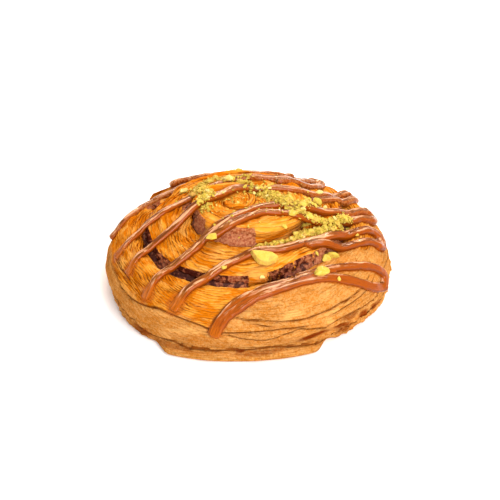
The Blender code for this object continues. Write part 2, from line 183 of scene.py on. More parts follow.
def profile(wound):
    """The strip's outline across, as (distance from the eye, height), from the foot outwards and up."""
    inner, outer = inner_edge(wound), outer_edge(wound)
    low, high = edge_heights(wound)
    high = high + CREST_SWELL * unevenness(wound, 4, 1)
    skin = ramp(wound, 1226, SKIN_START + 4)
    side = []
    for part, up_wall in enumerate((0, 0.3, 0.6, 0.8, 0.9, 0.97)):
        flank_s, flank_z = flank(wound, part)
        side.append((outer + (flank_s - outer) * skin, high * up_wall * (1 - skin) + flank_z * skin))
    top_s, top_z = side[-1]
    top_z = top_z + (1 - skin) * 0.03 * high
    top = []
    for part in (0.07, 0.2, 0.34, 0.5, 0.66, 0.82, 0.94):
        bulge = smooth_through(CROWN, (inner + outer) / 2) * 4 * part * (1 - part)
        top.append((top_s + (inner - top_s) * part, top_z + (low - top_z) * part + bulge))
    foot = side[0][0]
    return [((inner + foot) / 2, 0.0), *side, *top, (inner, low - 0.8), (inner, 0.0)]


def place(wound, distance, height):
    """The point this far from the eye, which drifts to the roll's own outline at its edge."""
    turn, share = np.radians(wound), distance / RADIUS
    reach = distance * (1 + (smooth_through(OUTLINE, wound % 360) / RADIUS - 1) * share * share)
    x = EYE_X * (1 - share) + reach * np.cos(turn) + CENTRE_X
    y = EYE_Y * (1 - share) + reach * np.sin(turn) + CENTRE_Y
    return np.stack([x, y, height + 0 * x], axis=-1)


# The corners of an outline, by their number: where its parts begin.
FOOT, SHOULDER, CREST, INNER_RIM, INNER_FOOT, OUTLINE_END = 1, 6, 7, 14, 15, 16


ALL_WOUND = np.linspace(WIND_START, WIND_END, 8000)
MIDDLE = (inner_edge(ALL_WOUND) + outer_edge(ALL_WOUND)) / 2
TRAVELLED = np.concatenate([[0], np.cumsum(np.radians(np.diff(ALL_WOUND)) * (MIDDLE[1:] + MIDDLE[:-1]) / 2)])


def stations_along(start, end, spacing):
    """Places along the strip from start to end, about this many millimetres apart."""
    first, last = np.interp((start, end), ALL_WOUND, TRAVELLED)
    along = np.linspace(first, last, max(8, round((last - first) / spacing)) + 1)
    return np.interp(along, TRAVELLED, ALL_WOUND), along


def strip_surface(start, end, spacing, columns):
    """The strip's surface as arrays of points, with what each point needs to know of where it lies."""
    wound, along = stations_along(start, end, spacing)
    distances, heights, across, share = [], [], [], []
    for w in wound:
        outline = np.array(profile(w), float)
        outline = np.vstack([outline, outline[:1]])
        run = np.concatenate([[0], np.cumsum(np.hypot(*np.diff(outline, axis=0).T))])
        at = np.interp(columns, np.arange(len(run)), run)
        distances.append(smooth_through(np.stack([run, outline[:, 0]], 1), at))
        heights.append(np.maximum(smooth_through(np.stack([run, outline[:, 1]], 1), at), 0))
        across.append(run[INNER_RIM] - at)
        share.append((run[INNER_RIM] - at) / (run[INNER_RIM] - run[SHOULDER]))
    distances, heights = np.array(distances), np.array(heights)
    # The tail ends thin and frayed, pressed against the turn inside it.
    frayed = wound[:, None] + 5 * lumps(heights / 6, 0 * heights, 61)
    frayed = frayed + 2.5 * lumps(heights / 2, 0 * heights, 62)
    pinched = ramp(frayed, WIND_END - PINCH_FROM, WIND_END - PINCH_TO)
    inner = inner_edge(wound)[:, None]
    distances = inner + (distances - inner) * (1 - PINCHED_THIN * pinched)
    distances = distances - PRESSED_IN * ramp(wound, WIND_END - PRESSED_FROM, WIND_END)[:, None]
    spots = {
        "wound": wound[:, None] + 0 * distances,
        "along": along[:, None] + 0 * distances,
        "across": np.array(across),
        "share": np.array(share),
        "corner": columns[None, :] + 0 * distances,
        "distance": distances,
        "height": heights,
    }
    return place(spots["wound"], distances, heights), spots


def facing_out(points):
    """Unit normals of a surface given as rows and columns of points."""
    normal = np.cross(np.gradient(points, axis=0), np.gradient(points, axis=1))
    return normal / np.maximum(np.linalg.norm(normal, axis=-1, keepdims=True), 1e-9)


def closed_strip(name, points, marks):
    """A mesh through rows of closed outlines, with its seam merged, its ends capped and its marks kept."""
    rows, columns = points.shape[:2]
    shape = bmesh.new()
    bmesh.ops.create_grid(shape, x_segments=columns - 1, y_segments=rows - 1, size=0.5)
    layers = {mark: shape.verts.layers.float.new(mark) for mark in marks}
    for corner in shape.verts:
        column, row = round((corner.co.x + 0.5) * (columns - 1)), round((corner.co.y + 0.5) * (rows - 1))
        corner.co = Vector(points[row, column]) * MM
        for mark, layer in layers.items():
            corner[layer] = float(marks[mark][row, column])
    bmesh.ops.remove_doubles(shape, verts=shape.verts, dist=1e-7)
    open_edges = [edge for edge in shape.edges if edge.is_boundary]
    bmesh.ops.holes_fill(shape, edges=open_edges, sides=0)
    bmesh.ops.recalc_face_normals(shape, faces=shape.faces)
    bmesh.ops.triangulate(shape, faces=[face for face in shape.faces if len(face.verts) > 4])
    return finished(name, shape)


def finished(name, shape):
    """An object of this shape, shaded smooth."""
    mesh = bpy.data.meshes.new(name)
    shape.to_mesh(mesh)
    shape.free()
    mesh.shade_smooth()
    made = bpy.data.objects.new(name, mesh)
    bpy.context.scene.collection.objects.link(made)
    return made


def tree_of(made):
    return BVHTree.FromPolygons([v.co for v in made.data.vertices], [p.vertices for p in made.data.polygons])


# --- The crust's relief -------------------------------------------------------------------------
# Cut across, the strip shows the edges of its many thin layers, which part and fray as they bake. The
# outermost layer stays a smooth skin that splits in long creases where the roll swelled.

LAYERS, LAYER_HEIGHT = 12, 0.75
# How much the layers run across the strip instead of along it, in layers to a millimetre wound.
CROSSING = (
    (180, 0), (300, 0.1), (540, 0), (640, -0.15), (760, 0.15), (880, 0), (935, -0.25), (975, -0.1),
    (1000, 0.05), (1080, 0.15), (1224, 0), (1290, -0.08), (1312, -0.4), (1326, -0.2), (1336, 0),
    (1400, 0.12), (1584, 0),
)
# How far out over the outer turn the cut layers reach before the skin begins, by the way it faces.
SKIN_EDGE = (
    (144, 1.1), (170, 1.2), (196, 1.3), (214, 1.55), (229, 1.5), (240, 1.45), (250, 1.6), (256, 1.75),
    (262, 1.4), (272, 0.6), (290, 0.2), (325, 0.1), (334, 0.15), (343, 0.75), (360, 0.85), (400, 0.9),
    (450, 1.0), (504, 1.1),
)
# Long creases in the outer turn: the way they face, how far down from its inner rim, and how open they are.
CREASES = (
    ((144, 13, 0), (190, 13, 0.2), (198, 13.5, 1), (205, 13.8, 1), (210, 14, 1), (216, 14, 0),
     (255, 13.6, 0), (263, 14.7, 0.6), (268, 15.9, 1), (275, 16.7, 1), (283, 18.4, 1), (291, 19.3, 1.3),
     (294, 19.6, 1.6), (299, 19.5, 0.7), (304, 19.6, 1), (309, 19.2, 1), (314, 19.0, 1), (321, 18.4, 1),
     (327, 17.5, 0.8), (335, 15.5, 0), (380, 14.5, 0.6), (400, 14, 1), (430, 15, 0), (460, 14, 0.8),
     (504, 13, 0)),
    ((144, 15.5, 0), (206, 15.8, 0), (234, 15.0, 0), (255, 15.2, 0), (268, 17.5, 0.1), (274, 18.4, 0.8),
     (279, 19.7, 0.6), (285, 20.2, 0), (299, 21.6, 0.2), (306, 21.9, 1), (311, 21.3, 1), (317, 20.8, 1),
     (324, 20.2, 1), (330, 19, 0.7), (338, 17, 0.4), (349, 17.2, 0.3), (366, 17, 0.3), (420, 17, 0.8),
     (504, 15.5, 0)),
    ((144, 18, 0.3), (180, 17.5, 0.5), (200, 17.8, 0.6), (206, 18.3, 1), (214, 19, 1), (221, 18.5, 1),
     (229, 17.5, 1.2), (234, 16.5, 1.3), (240, 17.1, 1.3), (244, 17.7, 1.3), (250, 18.7, 1.3),
     (255, 20.2, 1.3), (259, 21.3, 1.2), (269, 21.1, 1.2), (280, 21.3, 1.1), (291, 22.2, 0.9),
     (296, 23, 0.2), (306, 23.4, 0), (324, 22, 0), (338, 20, 0.6), (349, 19.2, 1.5), (366, 18.8, 1.5),
     (400, 19.5, 0.5), (460, 19, 0.9), (504, 18, 0.3)),
    ((144, 22, 0.4), (200, 21.5, 0.3), (229, 21, 0.2), (245, 21, 0.3), (256, 21.9, 0.7), (263, 22.5, 0.9),
     (269, 23.8, 1.2), (278, 24.8, 1.3), (285, 23.6, 1.2), (290, 22.9, 0.9), (294, 24.2, 0.8),
     (298, 25.2, 2.2), (301, 25.9, 2.4), (305, 25.1, 2), (313, 24.6, 1.6), (322, 25.2, 1.6),
     (327, 25.4, 1.5), (335, 24.5, 0.8), (341, 25.5, 1), (349, 23, 0.6), (366, 23, 0.3), (400, 24, 0.9),
     (440, 23, 0.2), (470, 24, 0.8), (504, 22, 0.4)),
    ((144, 26, 0.6), (180, 26, 0.4), (200, 25.5, 0.8), (206, 25.1, 1.2), (211, 26.7, 1.3),
     (217, 26.4, 1.3), (223, 26.7, 1.5), (227, 28.3, 1.5), (230, 29.3, 1.5), (240, 28.8, 1.8),
     (248, 29.7, 1.8), (257, 29.4, 1.6), (267, 28.9, 1.4), (279, 29.3, 1.2), (291, 31.4, 1.5),
     (303, 33.2, 1), (315, 29.5, 1.4), (330, 29, 1.2), (349, 28, 0.7), (380, 29, 0.4), (420, 28, 1),
     (460, 29, 0.5), (504, 26, 0.6)),
)
# Places that caught the oven's heat or a lick of syrup, and, facing 297 to 320 degrees, painted shadow in the
# recess under the overhanging crease: the way they face, their distance from the rim, their reach each way
# and how dark they are.
SCORCHES_AND_SHADE = (
    (297, 28.9, 7.5, 1.9, 1), (309, 28.4, 5, 1.5, 0.8), (313, 26, 5, 1.2, 0.6), (320, 28.4, 4, 1.8, 1),
    (267, 29.6, 2.2, 0.9, 1), (312, 31.5, 5, 3, 0.7), (330, 29.5, 5, 2, 0.9), (226, 29.5, 6, 2.5, 0.8),
    (341, 25, 5, 2.5, 0.5), (207, 26.5, 4, 1.5, 0.5), (240, 30.8, 12, 1.2, 0.45), (275, 31, 12, 1.3, 0.5),
    (188, 20, 6, 3, 0.3), (400, 25, 12, 3, 0.5), (455, 26, 10, 3, 0.6), (480, 16, 8, 2, 0.4),
)
# Places on the inner turns, by how far along the strip, how far down from its rim, and their reach each way:
# where the top layer stayed whole and smooth, and where a flake of it stood up.
SMOOTH_PATCHES = ((42, 13.5, 5, 3), (58, 14.0, 8, 4), (202, 13.0, 11, 4.5), (118, 12, 6, 3), (178, 6, 8, 2.5))
FLAKES = ((142.4, 15.5, 2.8, 1.6), (132, 8, 1.8, 1.2), (221, 11, 2.2, 1.2), (161, 4, 2.0, 1.2))
SPILLS = ((342, 3, 5, 3), (139, 2.5, 5, 2.2))  # where filling boiled over onto the rim, measured the same way
# Where the filling shows in its slot, and where the dough beside it has closed over it.
FILLING_SHOWS = (
    (180, 0), (385, 0), (398, 1), (434, 1), (446, 0), (556, 0), (565, 1), (588, 1), (592, 0), (599, 0),
    (603, 1), (641, 1), (649, 0), (730, 0), (738, 0.8), (748, 0.8), (758, 0), (862, 0), (868, 1),
    (893, 1), (899, 0.1), (905, 1), (932, 1), (935, 0.6), (938, 1), (947, 1), (949, 0.7), (951, 1),
    (963, 1), (966, 0.5), (970, 1), (990, 1), (994, 0), (1000, 0), (1004, 0.45), (1011, 0.4), (1015, 0.9),
    (1017, 0.9), (1020, 0.5), (1024, 1), (1033, 1), (1035, 0.6), (1038, 1), (1044, 1), (1047, 0.6),
    (1050, 0.9), (1063, 0.9), (1068, 0.2), (1073, 1), (1094, 1), (1099, 0), (1111, 0.8), (1119, 0.8),
    (1124, 0), (1224, 0),
)
# How hard the filling boiled and blackened along the slot.
BOILED = (
    (180, 0.3), (395, 0.8), (440, 0.5), (560, 0.4), (600, 0.1), (645, 0.1), (740, 0.5), (868, 0.5),
    (905, 0.5), (918, 1), (932, 0.9), (940, 0.6), (955, 0.95), (975, 0.75), (990, 0.6), (1012, 0.8),
    (1030, 0.5), (1055, 0.2), (1080, 0.5), (1115, 0.7), (1224, 0.5),
)


def crease_level(azimuth, across):
    """Which creases a point lies between, the distance between those two, and how open the nearer one is."""
    lines = [(-20, 0)]
    for crease in CREASES:
        facing, down, how_open = zip(*crease)
        lines.append([smooth_through(list(zip(facing, values)), azimuth) for values in (down, how_open)])
    lines.append((60, 0))
    level, spacing, open_share = 0 * across, 0 * across + 20, 0 * across
    for number, ((above, open_above), (below, open_below)) in enumerate(zip(lines, lines[1:])):
        inside = (across >= above) & (across < below)
        step = (across - above) / (below - above)
        level = np.where(inside, number + step, level)
        spacing = np.where(inside, below - above, spacing)
        opening = open_above + (open_below - open_above) * ramp(step, 0.4, 0.6)
        open_share = np.where(inside, opening, open_share)
    return level, spacing, open_share


def away_from(places, along, across, ragged, grain, seed):
    """The distance to the nearest of these places, as a share of its reach, with a ragged edge."""
    shares = [
        np.hypot((along - at) / reach, (across - down) / reach_down) for at, down, reach, reach_down in places
    ]
    return np.minimum.reduce(shares) + ragged * lumps(along / grain, across / grain, seed)


def crust_relief(spots):
    """(height out of the surface, marks for the colours) of the crust at each point."""
    wound, along, across, share = (spots[key] for key in ("wound", "along", "across", "share"))
    azimuth = wound - (WIND_END - 504)
    outer_turn = ramp(wound, 1215, 1255)
    edge = smooth_through(SKIN_EDGE, azimuth) + 0.1 * lumps(along / 4, across / 3, 31)
    skin = ramp(wound, 1196, 1222) * ramp(share, edge - 0.08, edge + 0.08)
    eye = 1 - ramp(spots["distance"], 2, 9)

    # The cut layers: ridges that wander, part and fray, with a few thin sheets lifted clear.
    crossing = np.interp(wound, *np.array(CROSSING, float).T)
    steps = np.concatenate([[0], np.diff(along[:, 0])])
    crossed = np.cumsum(crossing[:, 0] * steps)[:, None]
    wander = 1.1 * lumps(along / 15, share * 2, 1) + 0.4 * lumps(along / 6, share * 5, 2)
    layer = 40 + LAYERS * share + crossed + wander
    step, sheet = layer - np.floor(layer), np.floor(layer)
    proud = 0.5 + 0.7 * lumps(sheet * 7.31 + 0.5, along / 6 + sheet * 3.17, 4)
    parted = ramp(lumps(along / 11, across / 5, 5) + 0.35 * lumps(along / 3, across / 2, 6), -0.35, 0.35)
    ridge = ramp(step, 0, 0.25) * (1 - 0.8 * step) * np.clip(proud, 0.1, 1.3)
    hair = lumps(along / 1.6 + across * 0.35, across / 0.5 - along * 0.4, 7)
    swells = 0.5 * lumps(along / 8, across / 4.5, 8)
    lifted = ramp(lumps(along / 7, across / 1.9, 9) + 0.2 * lumps(along / 1.5, across, 10), 0.16, 0.24)
    smooth = (1 - ramp(away_from(SMOOTH_PATCHES, along, across, 0.25, 3, 23), 0.6, 1.1)) * (1 - outer_turn)
    flaked = 1 - ramp(away_from(FLAKES, along, across, 0.25, 1, 24), 0.7, 1.0)
    lifted = np.maximum(lifted, 2.2 * flaked * (1 - outer_turn))
    layers_height = LAYER_HEIGHT * (0.3 + 0.7 * parted) * (ridge - 0.45) * (1 - 0.8 * smooth)
    layers_height = layers_height + (0.08 * hair + 0.3 * lifted) * (1 - smooth) + swells + 0.4 * smooth

    # The skin: gently dimpled, with flaps raised along its creases and thin flakes coming off it.
    dimples = 0.3 * lumps(along / 9, across / 6, 11) + 0.13 * lumps(along / 3.2, across / 2.0, 12)
    flake = ramp(lumps(along / 9, across / 3.2, 13) + 0.25 * lumps(along / 1.7, across / 1.2, 14), 0.12, 0.2)
    rough = within(azimuth, 190, 205, 225, 235) + within(azimuth, 300, 312, 350, 390)
    rough = rough * ramp(across, 24, 27) + 0.6 * ramp(azimuth, 380, 400) * ramp(across, 18, 24)
    crags = rough * (0.7 * lumps(along / 2.2, across / 1.3, 15) + 0.35 * lumps(along / 0.9, across / 0.8, 16))
    level, spacing, open_share = crease_level(azimuth, across)
    open_share = open_share * outer_turn * np.clip(0.85 + 0.5 * lumps(along / 3, across / 3, 17), 0, 1.2)
    below = (level - np.floor(level)) * spacing
    above = spacing - below
    flap = np.where(below < above, -0.5 * np.exp(-((below / 0.9) ** 2)), 0.5 * np.exp(-((above / 1.3) ** 2)))
    skin_height = dimples + (0.12 + 0.3 * rough) * flake + crags

    height = (1 - skin) * layers_height + skin * skin_height + open_share * flap
    toast = 0.5 + 0.5 * lumps(along / 8, across / 5, 18) + 0.3 * lumps(along / 2.2, across / 1.2, 19)
    toast = toast + (lifted * (1 - skin) + flake * skin) * -0.35 - 0.3 * smooth
    # Painted shade: the crust is coloured browner towards the left, the side away from the lights.
    left_side_shade = 0.35 * ramp(np.cos(np.radians(wound - 185)), 0.0, 0.9) * ramp(spots["distance"], 8, 20)
    toast = toast + left_side_shade * (1 - 0.5 * skin)
    scorched = 0 * along
    # The places facing 297 to 320 degrees are painted shadow in the recess under the overhanging crease.
    for facing, down, reach, reach_down, dark in SCORCHES_AND_SHADE:
        away = np.hypot(np.radians(azimuth - facing) * RADIUS / reach, (across - down) / reach_down)
        scorched = np.maximum(scorched, outer_turn * dark * (1 - ramp(away, 0.4, 1.2)))
    marks = {
        "layer": layer, "crease": level, "spacing": spacing, "open": open_share, "skin": skin, "toast": toast,
        "scorched": scorched, "smooth": smooth, "along": along, "across": across,
    }

    # The walls of the slots: dough swells shut over the filling where it doesn't show.
    corner = spots["corner"]
    ragged = 1.15 - 0.5 * ramp(lumps(along / 2.8, along * 0, 20), 0.05, 0.6)
    shows, shows_inside = (
        np.clip(smooth_through(FILLING_SHOWS, at) * ragged, 0, 1) for at in (wound, wound - 360)
    )
    crest_wall = within(corner, 4.2, 6.2, 7.2, 8) * (1 - outer_turn)
    rim_wall = within(corner, 12.4, 13.8, 14.1, 14.4) * ramp(wound, 540, 600)
    swell = crest_wall * (1 - shows) * (half_slot(wound) + 0.25)
    swell = swell + rim_wall * (1 - shows_inside) * (half_slot(wound - 360) + 0.25)
    coated = shows * (1 - outer_turn) * ramp(corner, 6.95, 6.5) * ramp(corner, 2, 3)
    smeared = shows_inside * ramp(corner, 13.5, 14.0) * ramp(wound, 500, 560)
    spilt = 1 - ramp(away_from(SPILLS, along, across, 0.4, 1.5, 25), 0.6, 1.1)
    marks["stain"] = np.clip(coated + 0.8 * smeared + 0.8 * spilt * (corner > 8), 0, 1)
    marks["boiled"] = smooth_through(BOILED, np.where(corner < 10, wound, wound - 360))
    coat = 0.45 + 0.4 * lumps(along / 0.8, across / 0.9, 21) + 0.4 * lumps(along / 2.5, across / 2, 22)
    swell = swell + coated * coat

    on_top = 1 - ramp(corner, 14.05, 14.3)
    buried = np.where(corner < 4.0, 1 - outer_turn, 0)
    above_floor = ramp(spots["height"], 0.2, 1.6)
    height = height * on_top * (1 - buried) * above_floor * (1 - 0.5 * eye) + swell
    return height, marks


def column_places(stretches):
    """Where a strip's columns of points lie, from (corner, corner, count) stretches of its outline."""
    places = [
        np.linspace(start, end, max(1, round(count / COARSE)), endpoint=False)
        for start, end, count in stretches
    ]
    return np.concatenate([*places, [stretches[-1][1]]])


def crust(name, start, end, spacing, stretches):
    points, spots = strip_surface(start, end, spacing * COARSE, column_places(stretches))
    height, marks = crust_relief(spots)
    points = points + facing_out(points) * height[..., None]
    points[..., 2] = np.maximum(points[..., 2], 0)
    points[:, -1] = points[:, 0]
    return closed_strip(name, points, marks)


# --- How finishes are written --------------------------------------------------------------------
# A finish is a material whose colour and relief vary as the real surface does.


class Value:
    """Something that varies over a surface. Arithmetic on it adds the nodes that work it out."""

    def __init__(self, finish, socket):
        self.finish, self.socket = finish, socket

    def _with(self, operation, first, second=0.0):
        return self.finish.node("Math", {"operation": operation}, {0: first, 1: second})

    def __add__(self, other):
        return self._with("ADD", self, other)

    def __radd__(self, other):
        return self._with("ADD", other, self)

    def __sub__(self, other):
        return self._with("SUBTRACT", self, other)

    def __rsub__(self, other):
        return self._with("SUBTRACT", other, self)

    def __mul__(self, other):
        return self._with("MULTIPLY", self, other)

    def __rmul__(self, other):
        return self._with("MULTIPLY", other, self)

    def __pow__(self, other):
        return self._with("POWER", self, other)

    def clamped(self):
        return self.finish.node("Clamp", {}, {"Value": self})

    def fraction(self):
        return self._with("FRACT", self)

    def size(self):
        return self._with("ABSOLUTE", self)

    def between(self, low, high):
        """0 where this is below low, 1 where it is above high."""
        sockets = {"Value": self, "From Min": low, "From Max": high}
        return self.finish.node("MapRange", {"interpolation_type": "SMOOTHSTEP"}, sockets)


class Finish:
    """A material for one kind of surface."""

    def __init__(self, name, **constants):
        self.material = bpy.data.materials.new(name)
        self.material.use_nodes = True
        self.tree = self.material.node_tree
        self.shader = self.tree.nodes["Principled BSDF"]
        for socket, value in constants.items():
            self.shader.inputs[socket.replace("_", " ")].default_value = value

    def node(self, kind, settings, sockets, output=0):
        made = self.tree.nodes.new("ShaderNode" + kind)
        for setting, value in settings.items():
            if setting == "stops":
                self.set_stops(made.color_ramp, value)
            else:
                setattr(made, setting, value)
        for socket, value in sockets.items():
            if isinstance(value, Value):
                self.tree.links.new(value.socket, made.inputs[socket])
            else:
                made.inputs[socket].default_value = value
        return Value(self, made.outputs[output])

    @staticmethod
    def set_stops(colour_ramp, stops):
        while len(colour_ramp.elements) < len(stops):
            colour_ramp.elements.new(0.5)
        for element, (position, colour) in zip(colour_ramp.elements, stops):
            element.position, element.color = position, (*colour, 1)

    def mark(self, name):
        return self.node("Attribute", {"attribute_name": name}, {}, "Fac")

    def noise(self, where, scale, detail, roughness=0.55):
        sockets = {"Vector": where, "Scale": scale, "Detail": detail, "Roughness": roughness}
        return self.node("TexNoise", {}, sockets)

    def streaks(self, along, across, detail=3.0):
        """Noise drawn out with the strip, this many marks to a millimetre along it and across it."""
        sockets = {"X": self.mark("along") * along, "Y": self.mark("across") * across}
        return self.noise(self.node("CombineXYZ", {}, sockets), 1.0, detail)

    def grain(self, scale, detail=3.0, roughness=0.55):
        """Noise alike in every direction, with this many grains to a millimetre."""
        place_in = self.node("TexCoord", {}, {}, "Object")
        millimetres = self.node("VectorMath", {"operation": "SCALE"}, {0: place_in, "Scale": 1000.0})
        return self.noise(millimetres, scale, detail, roughness)

    def mix(self, factor, first, second):
        first, second = (c if isinstance(c, Value) else (*c, 1) for c in (first, second))
        return self.node("Mix", {"data_type": "RGBA"}, {0: factor, 6: first, 7: second}, 2)

    def bump(self, height, depth, strength=1.0):
        return self.node("Bump", {}, {"Height": height, "Distance": depth, "Strength": strength})

    def set(self, **values):
        for socket, value in values.items():
            self.tree.links.new(value.socket, self.shader.inputs[socket.replace("_", " ")])

    def on(self, made):
        made.data.materials.clear()
        made.data.materials.append(self.material)


# --- The crust's finish -------------------------------------------------------------------------
# Buttery layers bake golden with orange-brown edges, here with painted shade in the folds between them and a
# painted highlight on their edges; the skin is paler and tanned unevenly, with painted shade in its creases.
# Syrup from the caramel soaks in beside it, and painted shade runs along the strands.

# The layer brown is painted shade, laid in the folds between the layers.
LAYER_GOLD, LAYER_ORANGE, LAYER_FOLD_SHADE = (0.74, 0.285, 0.028), (0.55, 0.14, 0.002), (0.20, 0.028, 0.0)
# The pale layer colour serves pale patches and a painted highlight on the layer edges.
LAYER_PALE_AND_HIGHLIGHT = (0.80, 0.38, 0.085)
# The crease brown is painted shade in the skin's open creases.
SKIN_TAN, SKIN_ORANGE, CREASE_SHADE = (0.63, 0.287, 0.078), (0.50, 0.165, 0.02), (0.17, 0.032, 0.001)
# The syrup colour is also painted shade in the fine folds and along the strands; the scorched brown is also
# painted shadow under an overhanging crease.
FLAKE_PALE, SYRUP_AND_SHADE, SCORCH_AND_SHADE_BROWN = (0.76, 0.37, 0.10), (0.42, 0.085, 0.002), (0.20, 0.03, 0.002)
CINNAMON_PINK, CINNAMON_BROWN = (0.47, 0.175, 0.072), (0.30, 0.07, 0.022)
CINNAMON_DARK, CINNAMON_BLACK = (0.13, 0.024, 0.013), (0.03, 0.003, 0.002)


def cinnamon_colour(finish):
    """Grains of cinnamon and brown sugar, with dark pits between them where it boiled hardest."""
    grains = finish.grain(1.2, 3.0, 0.6)
    boiled = finish.mark("boiled")
    pits = finish.grain(0.45, 3.0) + (boiled - 0.5) * 0.3
    shade = finish.mix(grains.between(0.40, 0.58), CINNAMON_BROWN, CINNAMON_PINK)
    shade = finish.mix(boiled.between(0.2, 0.9) * (1.2 - grains), shade, CINNAMON_DARK)
    return finish.mix(pits.between(0.50, 0.62) * 0.9, shade, CINNAMON_BLACK)


baked = Finish("baked_crust", Specular_IOR_Level=0.0, Roughness=0.6, Coat_Roughness=0.25)
fibres = baked.streaks(0.22, 1.9, 4.0)
hairs = baked.streaks(0.7, 4.5)
patches = baked.streaks(0.10, 0.22)
mottle = baked.streaks(0.45, 0.8, 5.0)
skin, toast = baked.mark("skin"), baked.mark("toast")

layer = baked.mark("layer") + (baked.streaks(0.22, 0.6) - 0.5) * 0.9
calm = 0.25 + baked.streaks(0.05, 0.16, 2.0).between(0.40, 0.56) * 0.75
calm = calm * (1 - baked.mark("smooth") * 0.75)
strength = baked.streaks(0.11, 0.6, 2.0).between(0.36, 0.6) * calm
step = layer.fraction()
from_fold = 0.5 - (step - 0.5).size()
fold = (1 - from_fold.between(0.0, strength * 0.3 + 0.08)) * (strength * 0.7 + 0.3)
thin = (layer * 2.6 + (hairs - 0.5) * 1.5).fraction()
thin_fold = (1 - (0.5 - (thin - 0.5).size()).between(0.02, 0.3)) * fibres.between(0.4, 0.62) * calm
# Browning and painted shade: the side of each layer next to its fold is coloured more orange.
browning_and_valley_shade = fibres.between(0.38, 0.64) * 0.4 + patches.between(0.42, 0.58) * 0.9
browning_and_valley_shade = browning_and_valley_shade + (toast - 0.5) * 0.5 + (0.35 - step) * 0.4
cut_colour = baked.mix(browning_and_valley_shade.clamped(), LAYER_GOLD, LAYER_ORANGE)
# Painted highlight: each layer's edge just above the next fold is coloured pale.
highlit_layer_edges = step.between(0.5, 0.95) * (hairs.between(0.4, 0.6) - browning_and_valley_shade * 0.6)
cut_colour = baked.mix(highlit_layer_edges.clamped(), cut_colour, LAYER_PALE_AND_HIGHLIGHT)
cut_colour = baked.mix(baked.streaks(0.08, 0.25).between(0.54, 0.64) * 0.6, cut_colour, LAYER_PALE_AND_HIGHLIGHT)
# Painted shade: the fine folds between the thin layers are coloured deep orange.
cut_colour = baked.mix(thin_fold * 0.7, cut_colour, SYRUP_AND_SHADE)
# Painted shade: the folds between the layers are coloured dark brown, more where the crust is toasted.
fold_shade_and_browning = fold * (mottle.between(0.3, 0.6) * 0.6 + 0.3 + toast * 0.25)
cut_colour = baked.mix(fold_shade_and_browning.clamped(), cut_colour, LAYER_FOLD_SHADE)

from_crease = (0.5 - (baked.mark("crease").fraction() - 0.5).size()) * baked.mark("spacing")
crease_width = hairs * 0.7 + baked.mark("open") * 0.35
crease = (1 - from_crease.between(0.02, crease_width)) * baked.mark("open").between(0.25, 0.8)
pores = baked.grain(0.9, 4.0)
specks = baked.grain(2.2, 3.0)
tanned = mottle.between(0.36, 0.66) * 0.4 + pores.between(0.42, 0.58) * 0.5
tanned = tanned + specks.between(0.45, 0.55) * 0.5 - 0.1
tanned = tanned + (toast - 0.5) * 0.5 - 0.15
skin_colour = baked.mix((tanned + patches.between(0.42, 0.6) * 0.2).clamped(), SKIN_TAN, SKIN_ORANGE)
skin_colour = baked.mix((0.1 - toast).between(0.0, 0.3) * 0.6, skin_colour, FLAKE_PALE)

colour = baked.mix(skin, cut_colour, skin_colour)
# Painted shade: the skin's open creases are coloured dark brown.
colour = baked.mix(crease * 0.9, colour, CREASE_SHADE)
# Scorching, and painted shadow under the overhanging crease at the front right, coloured dark brown.
colour = baked.mix((baked.mark("scorched") * (mottle + 0.55)).clamped(), colour, SCORCH_AND_SHADE_BROWN)
# Syrup and painted shade: the crust is coloured deep orange along each strand's edge, widest round the ends
# that ran out.
syrup = (baked.mark("syrup") + (mottle - 0.5) * 0.9).between(0.3, 0.9)
colour = baked.mix(syrup * 0.7, colour, SYRUP_AND_SHADE)
stain_grain = baked.grain(1.1, 4.0)
stained = (baked.mark("stain") * 1.6 + (stain_grain - 0.5) * 0.9).between(0.45, 0.75)
colour = baked.mix(stained, colour, cinnamon_colour(baked))
relief = fibres * 0.45 + hairs * 0.35 + mottle * 0.3 - fold * 0.35 - thin_fold * 0.15 - crease * 0.6
relief = relief + skin * (pores * 0.4 + specks * 0.4 - fibres * 0.4)
baked.set(Base_Color=colour, Normal=baked.bump(relief, 0.0012, 1.0), Coat_Weight=syrup * 0.2)

# --- The swirl ----------------------------------------------------------------------------------
# The inner turns show their cut layers, from the pinched eye out to the last slot of filling.

TAIL_JOIN = 1224.0
OVER_THE_TOP = (
    (SHOULDER, CREST, 5), (CREST, 13, 60), (13, INNER_RIM, 7), (INNER_RIM, 14.15, 6), (14.15, INNER_FOOT, 3),
    (INNER_FOOT, OUTLINE_END, 1),
)
swirl = crust("swirl_crust", WIND_START, TAIL_JOIN, 0.75, (
    (0, FOOT, 1), (FOOT, 3, 3), (3, 5, 6), (5, SHOULDER, 6), *OVER_THE_TOP,
))
baked.on(swirl)
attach(swirl, "root")
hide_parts("dough")

# --- The eye ------------------------------------------------------------------------------------
# The strip begins as a pinch of dough at the middle, wound so tight that it bakes into one knot.

